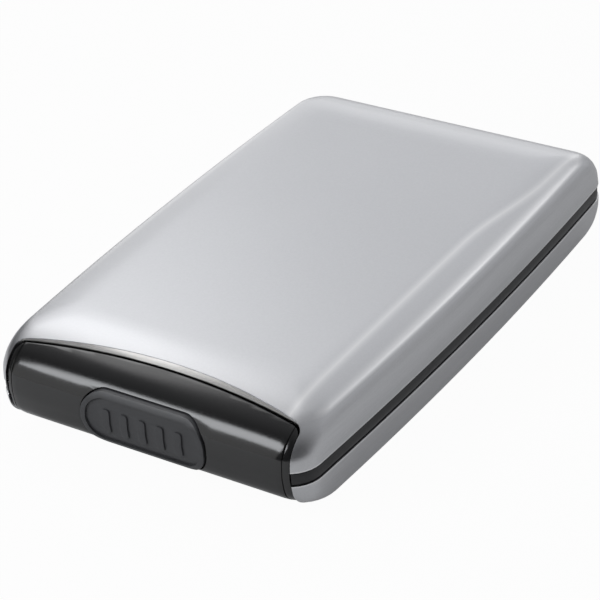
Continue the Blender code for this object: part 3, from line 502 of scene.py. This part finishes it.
def satinAluminium():
    # blasted and anodised, with a polished rim round the cap, bright worn edges at the band and
    # painted highlight lines along the shoulder and the side
    look = aluminiumLook
    finish = Finish("satinAluminium", Metallic=1.0)
    lines = finish.place.grain(1.0, 3.0, (3600, 60, 3600), 0.6)
    speck = finish.place.grain(2400, 2.0)
    drift = finish.place.grain(28, 2.0)
    x, y, z = (finish.place.axis(i) for i in range(3))
    fromLine = rimReach - y - (x / rimHalf) ** 2.0 * rim["fall"]
    polished = fromLine.ramp(*look["rimEdge"]) * (z - middle).ramp(*look["rimRise"]) * (
        1.0 - x.size().ramp(rim["ends"] - look["rimEnd"], rim["ends"]))
    edge = 1.0 - (z - middle).size().ramp(
        *(caseForm["bandHeight"] / 2 + reach for reach in look["bandEdge"]))
    sides = x.size().ramp(*look["side"])
    share = y.ramp(*paintedCreaseLines["turnY"])
    outward = share * share * (3.0 - share * 2.0) * paintedCreaseLines["outward"]
    # painted highlight: a bright line along the upper crease at +X, and with corner a bright line
    # along the lower crease on both sides
    upperLineHighlight = 1.0 - (x - outward - paintedCreaseLines["upperX"]).size().ramp(0.0, paintedCreaseLines["upperWidth"])
    fromLower = ((z - middle).size() - paintedCreaseLines["lowerZ"]).size()
    corner = (1.0 - fromLower.ramp(0.0, paintedCreaseLines["lowerWidth"])) * x.size().ramp(*look["corner"])
    paintedHighlight = (upperLineHighlight ** 1.6 * 0.9 + corner) * (1.0 - polished)
    tone = (speck - 0.5) * 0.45 + (drift - 0.5) * 0.30 + (lines - 0.5) * sides * 0.9 + 0.5
    plain = tone.blend(colour(0.600, 0.605, 0.620), colour(0.735, 0.740, 0.755))
    # the painted highlight lines blend the satin colour towards white here
    satinAndHighlights = paintedHighlight.blend(plain, colour(0.90, 0.90, 0.905))
    bright = edge.blend(satinAndHighlights, colour(0.86, 0.86, 0.87))
    finish.feed("Base Color", polished.blend(bright, colour(0.80, 0.79, 0.77)))
    rough = (speck - 0.5) * 0.08 + (drift - 0.5) * 0.05 + (lines - 0.5) * sides * 0.16 + 0.34
    finish.feed("Roughness", rough * (1.0 - polished * 0.50) * (1.0 - edge * 0.35))
    finish.bump((speck + lines * sides) * (1.0 - polished), 0.000004)
    return finish.material


def glossBlack():
    finish = Finish("glossBlack", Metallic=0.0, IOR=1.7)
    drift = finish.place.grain(60, 2.0)
    dust = finish.place.grain(2600, 2.0)
    finish.feed("Base Color", drift.blend(colour(0.010, 0.010, 0.010), colour(0.015, 0.015, 0.015)))
    finish.feed("Roughness", (dust - 0.5) * 0.04 + (drift - 0.5) * 0.04 + 0.17)
    finish.bump(dust, 0.000002)
    return finish.material


def mouldedPlastic(name, low, high, roughness, grainSize=1800, depth=0.000012):
    finish = Finish(name, Metallic=0.0)
    grain = finish.place.grain(grainSize, 3.0)
    drift = finish.place.grain(90, 2.0)
    finish.feed("Base Color", drift.blend(colour(*low), colour(*high)))
    finish.feed("Roughness", (grain - 0.5) * 0.12 + roughness)
    finish.bump(grain, depth)
    return finish.material


def springSteel():
    finish = Finish("springSteel", Metallic=1.0)
    drawn = finish.place.grain(1.0, 2.0, (300, 4200, 4200))
    drift = finish.place.grain(140, 2.0)
    finish.feed("Base Color", drift.blend(colour(0.46, 0.46, 0.47), colour(0.62, 0.62, 0.62)))
    finish.feed("Roughness", (drawn - 0.5) * 0.12 + 0.28)
    finish.bump(drawn, 0.000003)
    return finish.material


def gussetCloth():
    finish = Finish("gussetCloth", Metallic=0.0)
    across = finish.place.node("ShaderNodeTexWave", {"wave_type": "BANDS", "bands_direction": "Y"},
                               {"Vector": finish.place, "Scale": 420.0, "Distortion": 0.6})
    along = finish.place.node("ShaderNodeTexWave", {"wave_type": "BANDS", "bands_direction": "Z"},
                              {"Vector": finish.place, "Scale": 420.0, "Distortion": 0.6})
    weave = across * along
    fluff = finish.place.grain(900, 3.0)
    finish.feed("Base Color", (weave * 0.6 + fluff * 0.4).blend(
        colour(0.012, 0.012, 0.013), colour(0.045, 0.045, 0.047)))
    finish.feed("Roughness", fluff * 0.15 + 0.8)
    finish.bump(weave, 0.00004)
    return finish.material


def greyFelt():
    finish = Finish("greyFelt", Metallic=0.0)
    fluff = finish.place.grain(1600, 6.0, roughness=0.7)
    patches = finish.place.grain(160, 3.0)
    finish.feed("Base Color", (fluff * 0.7 + patches * 0.3).blend(
        colour(0.03, 0.03, 0.033), colour(0.09, 0.09, 0.095)))
    finish.feed("Roughness", fluff * 0.1 + 0.88)
    finish.bump(fluff, 0.00008)
    return finish.material


finishes = {
    "aluminium": satinAluminium(),
    "gloss_black": glossBlack(),
    "black_plastic": mouldedPlastic("satinBlack", (0.024, 0.024, 0.025), (0.038, 0.038, 0.040),
                                    0.42),
    "button_plastic": mouldedPlastic("buttonGrey", (0.055, 0.056, 0.060), (0.075, 0.076, 0.080),
                                     0.38),
    "steel": springSteel(),
    "pocket_plastic": mouldedPlastic("pocketSmoke", (0.035, 0.035, 0.038), (0.055, 0.055, 0.06),
                                     0.32),
    "cloth": gussetCloth(),
    "felt": greyFelt(),
}
print("finishes made:", len(finishes))

bodyOfNode = {node: body for body, members in frame["record"]["behaviour"]["bodies"].items()
              for node in members}


def dress(obj, slot, *nodes, ride=True):
    obj.data.materials.clear()
    obj.data.materials.append(finishes[slot])
    if ride:
        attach(obj, bodyOfNode[nodes[0]])
    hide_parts(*nodes)
    return obj


# shells
shell = halfCase("upper_shell_drawn", 0.0, caseForm["bandHeight"] / 2)
applyModifier(shell, "SOLIDIFY", thickness=caseForm["wall"], offset=-1, use_even_offset=True)
lowerShell = twin(shell, "lower_shell_drawn")
editStart(lowerShell)
bpy.ops.mesh.select_all(action="SELECT")
bpy.ops.transform.resize(value=(1, 1, -1), center_override=(0, 0, 0))
bpy.ops.mesh.flip_normals()
editEnd()
for piece, part in ((shell, "upper"), (lowerShell, "lower")):
    piece.location.z = middle
    applyPlace(piece)
    carve(piece, capBlock(part + "Notch", 0.0, part))

# a fine groove round the arch, and a rim that falls away from it to the cap
groove = archBlock("rimGroove", rimReach + rim["grooveWidth"] / 2, rim["fall"], rimHalf)
carve(groove, archBlock("rimGrooveInside", rimReach - rim["grooveWidth"] / 2, rim["fall"],
                        rimHalf, low=0.0))
carve(groove, wholeCase("rimGrooveFloor", rim["grooveDepth"]))
carve(shell, groove)
guide = wholeCase("rimGuide", 0.0)
steepness = math.tan(math.radians(rim["slope"]))
for vert in shell.data.vertices:
    inside = rimReach - rim["fall"] * (vert.co.x / rimHalf) ** 2 - vert.co.y
    onRim = 0 < inside < rim["span"] and abs(vert.co.x) < rim["ends"]
    if onRim and vert.co.z > middle + rim["aboveMiddle"]:
        nearest = guide.closest_point_on_mesh(vert.co)[1]
        if (nearest - vert.co).length < rim["touching"]:
            vert.co.z -= steepness * inside
bpy.data.objects.remove(guide, do_unlink=True)
for piece, node in ((shell, "upper_shell"), (lowerShell, "lower_shell")):
    mergeClose(piece, flatten=False)
    if piece is lowerShell:
        softenEdges(piece, caseForm["edgeRound"], 2, 50)
    else:
        smoothEdges(piece, 30)
    dress(piece, "aluminium", node)
print("shells made")

# end cap
cap = wholeCase("end_cap_moulded", endCap["setBack"])
carve(cap, capBlock("capLimit", -endCap["gap"]), "INTERSECT")
hollow = wholeCase("capHollow", endCap["setBack"] + endCap["wall"])
inside = endCap["width"] / 2 - endCap["gap"] - endCap["wall"]
carve(hollow, newCube("hollowLimit", (-inside, front - overrun["near"], overrun["low"]),
                      (inside, 0.0, overrun["high"])), "INTERSECT")
carve(cap, hollow)
flangeBack = front + pushButton["flangeFront"] + pushButton["flangeThickness"]
carve(cap, pill("buttonWindow", pushButton["clearance"], front - overrun["near"],
                flangeBack + pushButton["travel"] + endCap["gap"]))
for side in (-1, 1):
    boss = rod("capBoss", screwBoss["radius"], (side * screwBoss["x"], screwBoss["z"]),
               screwBoss["start"], screwBoss["end"])
    carve(boss, wholeCase("bossLimit", endCap["setBack"] + endCap["wall"] / 2), "INTERSECT")
    carve(cap, boss, "UNION")
    carve(cap, rod("capBossBore", screwBoss["bore"], (side * screwBoss["x"], screwBoss["z"]),
                   screwBoss["end"] - screwBoss["boreDepth"], 0.0))
    x = side * (endCap["width"] / 2 - endCap["lineFromEnd"])
    line = wholeCase("capLine", -endCap["lineAbove"])
    carve(line, wholeCase("capLineCore", endCap["setBack"] + endCap["lineDepth"]))
    carve(line, newCube("lineLimit",
                        (x - endCap["lineWidth"] / 2, front - overrun["near"], overrun["low"]),
                        (x + endCap["lineWidth"] / 2, capBack, overrun["high"])), "INTERSECT")
    carve(cap, line)
mergeClose(cap, flatten=False)
softenEdges(cap, endCap["edgeRound"], 3, 45)
dress(cap, "gloss_black", "end_cap")
print("end cap made")

# push button
button = pill("release_button_moulded", 0.0, front - pushButton["ahead"],
              front + pushButton["flangeFront"] + pushButton["overlap"])
carve(button, wholeCase("buttonLimit", 0.0), "INTERSECT")
face = pill("buttonFace", -pushButton["rim"], front - pushButton["faceAhead"],
            front + pushButton["faceBehind"])
carve(face, wholeCase("faceLimit", pushButton["recess"]))
carve(button, face)
halfWidth, halfHeight = pushButton["barWidth"] / 2, pushButton["barHeight"] / 2
bar = newCube("gripBar", (-halfWidth, front - pushButton["ahead"], buttonZ - halfHeight),
              (halfWidth, front + pushButton["faceBehind"], buttonZ + halfHeight))
bevelAlong(bar, 1, pushButton["barCorner"], 5)
carve(bar, wholeCase("barLimit", pushButton["barSetBack"]), "INTERSECT")
for index in range(pushButton["bars"]):
    grip = twin(bar, "grip")
    grip.location.x = (index - (pushButton["bars"] - 1) / 2) * pushButton["barPitch"]
    applyPlace(grip)
    carve(button, grip, "UNION")
bpy.data.objects.remove(bar, do_unlink=True)
for reach, height, low, high in (
        (pushButton["flangeWidth"], pushButton["flangeHeight"], front + pushButton["flangeFront"],
         flangeBack),
        (pushButton["stemWidth"], pushButton["stemHeight"], flangeBack - pushButton["overlap"],
         pushButton["stemEnd"])):
    block = newCube("buttonRear", (-reach / 2, low, buttonZ - height / 2),
                    (reach / 2, high, buttonZ + height / 2))
    carve(button, block, "UNION")
mergeClose(button, flatten=False)
softenEdges(button, pushButton["edgeRound"], 3, 45)
dress(button, "button_plastic", "release_button")
print("button made")


# frame, liner, pockets and metal parts: the CAD forms with rounded edges and smooth shading
def finished(node, slot, edge, ride=True):
    piece = twin(frame["nodes"][node], node + "_finished")
    mergeClose(piece)
    softenEdges(piece, edge)
    return dress(piece, slot, node, ride=ride)


edgeRounding = {
    "centre_frame": ("black_plastic", 0.00010),
    "lid_liner": ("black_plastic", 0.00010),
    **{f"card_pocket_{index}": ("pocket_plastic", 0.00008) for index in range(1, 6)},
    "catch_plate": ("steel", 0.00006),
    "hinge_pin": ("steel", 0.00012),
    "pocket_pin": ("steel", 0.00012),
}
for node, (slot, edge) in edgeRounding.items():
    finished(node, slot, edge)
leaf = finished("latch_spring", "steel", 0.00005, ride=False)
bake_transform(leaf)

screwHead = {"recessWidth": 0.00032, "recessLength": 0.0015, "recessDepth": 0.0003, "edge": 0.00008}
for kind, axis, side in (("latch_screw", 1, 0), ("cap_screw", 1, 1), ("catch_screw", 2, 0)):
    for end in ("left", "right"):
        node = f"{kind}_{end}"
        screw = twin(frame["nodes"][node], node + "_finished")
        mergeClose(screw)
        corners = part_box(node)
        centre = [(a + b) / 2 for a, b in zip(*corners)]
        centre[axis] = corners[side][axis]
        for long in range(3):
            if long == axis:
                continue
            reach = [screwHead["recessWidth"] / 2] * 3
            reach[long] = screwHead["recessLength"] / 2
            reach[axis] = screwHead["recessDepth"]
            carve(screw, newCube("recess", [c - r for c, r in zip(centre, reach)],
                                 [c + r for c, r in zip(centre, reach)]))
        mergeClose(screw, flatten=False)
        softenEdges(screw, screwHead["edge"], 2, 50)
        dress(screw, "steel", node)
print("frame, liner, pockets and metal parts finished")

# button springs: a round wire turned into a coil
buttonSpring = {"turns": 6, "wire": 0.00045, "radius": 0.0013, "stepsATurn": 28, "sides": 10}
for side, node in ((-1, "button_spring_left"), (1, "button_spring_right")):
    low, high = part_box(node)
    length = high[1] - low[1] - buttonSpring["wire"]
    deselectAll()
    bpy.ops.mesh.primitive_circle_add(vertices=buttonSpring["sides"],
                                      radius=buttonSpring["wire"] / 2,
                                      location=(buttonSpring["radius"] * side, 0, 0))
    coil = bpy.context.object
    coil.name = coil.data.name = node + "_wound"
    applyPlace(coil)
    applyModifier(coil, "SCREW", axis="Y", angle=2 * math.pi, iterations=buttonSpring["turns"],
                  screw_offset=length / buttonSpring["turns"], steps=buttonSpring["stepsATurn"],
                  render_steps=buttonSpring["stepsATurn"], merge_threshold=1e-7)
    editStart(coil)
    bpy.ops.mesh.select_all(action="SELECT")
    bpy.ops.mesh.remove_doubles(threshold=1e-7)
    bpy.ops.mesh.select_non_manifold(extend=False)
    bpy.ops.mesh.edge_face_add()
    bpy.ops.mesh.select_all(action="SELECT")
    bpy.ops.mesh.normals_make_consistent(inside=False)
    editEnd()
    coil.location = ((low[0] + high[0]) / 2, low[1] + buttonSpring["wire"] / 2,
                     (low[2] + high[2]) / 2)
    applyPlace(coil)
    smoothEdges(coil)
    dress(coil, "steel", node)
    (low[0] + high[0]) / 2
    1 - pushButton["travel"] / (high[1] - low[1])
    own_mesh(coil)

# lid springs: the wire is rounded
lidSpring = {"quadAngle": 60, "rounding": 0.00003, "levels": 2}
for side, node in ((-1, "lid_spring_left"), (1, "lid_spring_right")):
    low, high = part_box(node)
    coil = twin(frame["nodes"][node], node + "_wound")
    mergeClose(coil, flatten=False)
    editStart(coil)
    bpy.ops.mesh.select_all(action="SELECT")
    bpy.ops.mesh.tris_convert_to_quads(face_threshold=math.radians(lidSpring["quadAngle"]),
                                       shape_threshold=math.radians(lidSpring["quadAngle"]))
    bpy.ops.transform.shrink_fatten(value=lidSpring["rounding"])
    editEnd()
    applyModifier(coil, "SUBSURF", levels=lidSpring["levels"], render_levels=lidSpring["levels"])
    smoothEdges(coil, 60)
    dress(coil, "steel", node, ride=False)
    near, far = (high[0], low[0]) if side < 0 else (low[0], high[0])
    near + side * 0.0006
    far - side * 0.0006
    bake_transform(coil)
print("springs made")

# gussets: a pleated strip of cloth on each side of the pockets
gusset = {"pleats": 5, "depth": 0.00036, "cloth": 0.00014, "rows": 6, "columns": 36,
          "fullness": 0.75, "sag": 0.00008, "sagWaves": (37, 9, 11), "swell": 0.1,
          "swellWaves": 23}
for side, node in ((-1, "gusset_left"), (1, "gusset_right")):
    low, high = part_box(node)
    rows = gusset["pleats"] * gusset["rows"]
    deselectAll()
    bpy.ops.mesh.primitive_grid_add(x_subdivisions=rows, y_subdivisions=gusset["columns"], size=1,
                                    location=(0, 0, 0), rotation=(0, math.pi / 2, 0))
    strip = bpy.context.object
    strip.name = strip.data.name = node + "_pleated"
    applyPlace(strip)
    editStart(strip)
    bpy.ops.mesh.select_all(action="SELECT")
    bpy.ops.transform.resize(value=(1, high[1] - low[1], high[2] - low[2]),
                             center_override=(0, 0, 0))
    editEnd()
    strip.location = ((low[0] + high[0]) / 2, (low[1] + high[1]) / 2, (low[2] + high[2]) / 2)
    applyPlace(strip)
    middleX = (low[0] + high[0]) / 2
    for vert in strip.data.vertices:
        share = (vert.co.z - low[2]) / (high[2] - low[2])
        lengthwise = (vert.co.y - low[1]) / (high[1] - low[1])
        fold = math.cos(2 * math.pi * gusset["pleats"] * share)
        fold = math.copysign(abs(fold) ** gusset["fullness"], fold)
        long, across, slow = gusset["sagWaves"]
        wave = gusset["sag"] * math.sin(lengthwise * long + share * across) * math.sin(
            lengthwise * slow)
        swell = 1 - gusset["swell"] + gusset["swell"] * math.sin(lengthwise * gusset["swellWaves"])
        vert.co.x = middleX - side * fold * gusset["depth"] * swell
        vert.co.z += wave * math.sin(math.pi * share)
    applyModifier(strip, "SOLIDIFY", thickness=gusset["cloth"], offset=0)
    applyModifier(strip, "SUBSURF", levels=1, render_levels=1)
    editStart(strip)
    bpy.ops.mesh.select_all(action="SELECT")
    bpy.ops.mesh.normals_make_consistent(inside=False)
    editEnd()
    smoothEdges(strip, 70)
    dress(strip, "cloth", node, ride=False)
    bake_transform(strip)
    area = sum(polygon.area for polygon in strip.data.polygons) / 2
    cut = area / (high[1] - low[1])
    high[1] - low[1]
    print(node, "cloth cut", round(cut * 1000, 1), "mm wide")

# felt pads: thin, slightly crowned, with round corners and soft edges
feltPad = {"corner": 0.003, "edge": 0.00012, "step": 0.0008, "steps": 3, "crown": 0.00006}
for node, way in (("floor_pad", 1), ("lid_pad", -1)):
    low, high = [Vector(corner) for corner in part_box(node)]
    flat = feltPad["crown"]
    pad = newCube(node + "_felt", (low.x, low.y, low.z + (flat if way < 0 else 0)),
                  (high.x, high.y, high.z - (flat if way > 0 else 0)))
    bevelAlong(pad, 2, feltPad["corner"], 10)
    editStart(pad, "FACE")
    level = high.z - flat if way > 0 else low.z + flat
    selectWhere(pad, "polygons", lambda ends: max(abs(end.z - level) for end in ends) < 1e-6)
    for turn in range(feltPad["steps"]):
        bpy.ops.mesh.inset(thickness=feltPad["step"])
        bpy.ops.transform.translate(value=(0, 0, way * flat / feltPad["steps"]))
    editEnd()
    softenEdges(pad, feltPad["edge"], 2, 60)
    dress(pad, "felt", node)
print("soft parts made")

# camera
fitted = {"azimuth": 35.966, "elevation": 32.428, "distance": 0.44908, "right": -0.002727,
          "up": -0.003804, "roll": -5.584, "lens": 145.0, "sensor": 36.0, "clip": 0.01}
turn, tilt = math.radians(fitted["azimuth"]), math.radians(fitted["elevation"])
back = Vector((math.sin(turn) * math.cos(tilt), -math.cos(turn) * math.cos(tilt), math.sin(tilt)))
right = Vector((math.cos(turn), math.sin(turn), 0))
up = back.cross(right)
c, s = math.cos(math.radians(fitted["roll"])), math.sin(math.radians(fitted["roll"]))
right, up = c * right + s * up, -s * right + c * up
eye = (Vector((0, 0, middle)) + back * fitted["distance"] + right * fitted["right"]
       + up * fitted["up"])
cameraData = bpy.data.cameras.new("camera")
cameraData.lens = fitted["lens"]
cameraData.sensor_width = fitted["sensor"]
cameraData.clip_start = fitted["clip"]
camera = bpy.data.objects.new("camera", cameraData)
bpy.context.scene.collection.objects.link(camera)
camera.matrix_world = Matrix.Translation(eye) @ Matrix((right, up, back)).transposed().to_4x4()
bpy.context.scene.camera = camera

# white floor, which keeps the shadow of the case
floorPaper = {"seen": 0.965, "mirrored": 0.10, "tone": 0.84, "size": 6, "below": 0.0002}
deselectAll()
bpy.ops.mesh.primitive_plane_add(size=floorPaper["size"], location=(0, 0, -floorPaper["below"]))
floor = bpy.context.object
floor.name = "floor"
paper = bpy.data.materials.new("whitePaper")
paper.use_nodes = True
tree = paper.node_tree
tree.nodes.remove(tree.nodes["Principled BSDF"])
rays = Link(tree, tree.nodes.new("ShaderNodeLightPath").outputs["Is Camera Ray"])
rayNode = rays.socket.node
glossy, through = (Link(tree, rayNode.outputs[kind])
                   for kind in ("Is Glossy Ray", "Is Transmission Ray"))
mirrored = glossy + through
seen = rays * floorPaper["seen"] + mirrored * floorPaper["mirrored"]
matt = rays.node("ShaderNodeBsdfDiffuse", None, {"Color": colour(*[floorPaper["tone"]] * 3)})
glow = rays.node("ShaderNodeEmission", None, {"Color": colour(1, 1, 1), "Strength": 1.0})
mixed = rays.node("ShaderNodeMixShader", None, {0: seen, 1: matt, 2: glow})
tree.links.new(mixed.socket, tree.nodes["Material Output"].inputs["Surface"])
floor.data.materials.append(paper)

# studio: pale towards the rear right, darker at the front left
studio = {"dark": (0.12, 0.12, 0.125), "pale": (0.94, 0.95, 0.98), "towards": (0.25, 0.87, 0.43),
          "strength": 0.56}
world = bpy.data.worlds.new("studio")
bpy.context.scene.world = world
world.use_nodes = True
tree = world.node_tree
direction = Link(tree, tree.nodes.new("ShaderNodeTexCoord").outputs["Generated"])
sky = direction.along(studio["towards"]).ramp(0.0, 0.95).blend(
    colour(*studio["dark"]), colour(*studio["pale"]))
tree.links.new(sky.socket, tree.nodes["Background"].inputs["Color"])
tree.nodes["Background"].inputs["Strength"].default_value = studio["strength"]


def softbox(name, direction, distance, size, radiance, tint=(1, 1, 1), target=(0, 0, 0.01)):
    # direction is azimuth from +X and elevation, in degrees, as seen from the target
    azimuth, elevation = (math.radians(angle) for angle in direction)
    outward = Vector((math.cos(elevation) * math.cos(azimuth),
                      math.cos(elevation) * math.sin(azimuth), math.sin(elevation)))
    data = bpy.data.lights.new(name, "AREA")
    data.shape = "RECTANGLE"
    data.size, data.size_y = size
    data.energy = radiance * math.pi * size[0] * size[1]
    data.color = tint
    lamp = bpy.data.objects.new(name, data)
    bpy.context.scene.collection.objects.link(lamp)
    lamp.location = Vector(target) + outward * distance
    lamp.rotation_euler = outward.to_track_quat("Z", "Y").to_euler()


softbox("rearBox", (128, 32), 0.80, (0.56, 0.50), 0.32, (0.97, 0.98, 1.0))
softbox("lowBox", (124, 9), 0.80, (0.60, 0.18), 0.85)
softbox("highBox", (142, 50), 0.28, (0.09, 0.09), 1.45, target=(-0.028, -0.042, 0.018))
softbox("leftBox", (146, 38), 0.50, (0.30, 0.14), 0.62, target=(-0.01, -0.02, 0.018))
softbox("rightBox", (78, 42), 0.60, (0.30, 0.12), 0.75)
softbox("frontBox", (-131, 16), 0.36, (0.26, 0.21), 0.55, target=(0.020, -0.052, 0.010))
softbox("stripBox", (-130, 42), 0.34, (0.21, 0.11), 5.3, (0.95, 0.97, 1.0), (0.026, -0.052, 0.014))
print("camera, stage and light set")

bpy.context.scene.view_settings.view_transform = "Standard"
